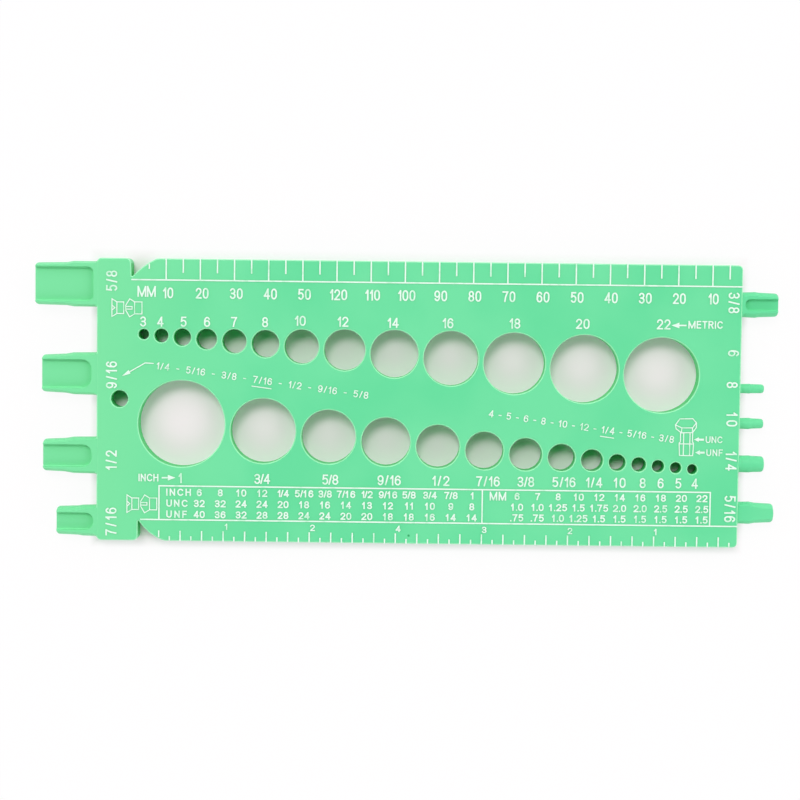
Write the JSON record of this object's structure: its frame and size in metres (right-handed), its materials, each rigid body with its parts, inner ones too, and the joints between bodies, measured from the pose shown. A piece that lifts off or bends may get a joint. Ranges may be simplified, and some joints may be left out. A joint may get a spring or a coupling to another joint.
{
  "type": "thread pitch gauge",
  "caption": "Flat moulded gauge with rows of bolt holes, stepped posts for nuts at both ends, a pitch table and ruled edges.",
  "frame": {"origin": "on the underside, at the middle of the outline box with the posts", "axes": "+X along the length from the large posts to the small ones, +Y across the plate to the millimetre edge, +Z out of the face with the numbers"},
  "size_m": [0.2182, 0.083, 0.006],
  "materials": {
    "plastic": "light green, satin, moulded"
  },
  "bodies": {
    "root": {"gauge_plate": "plastic"}
  },
  "joints": []
}
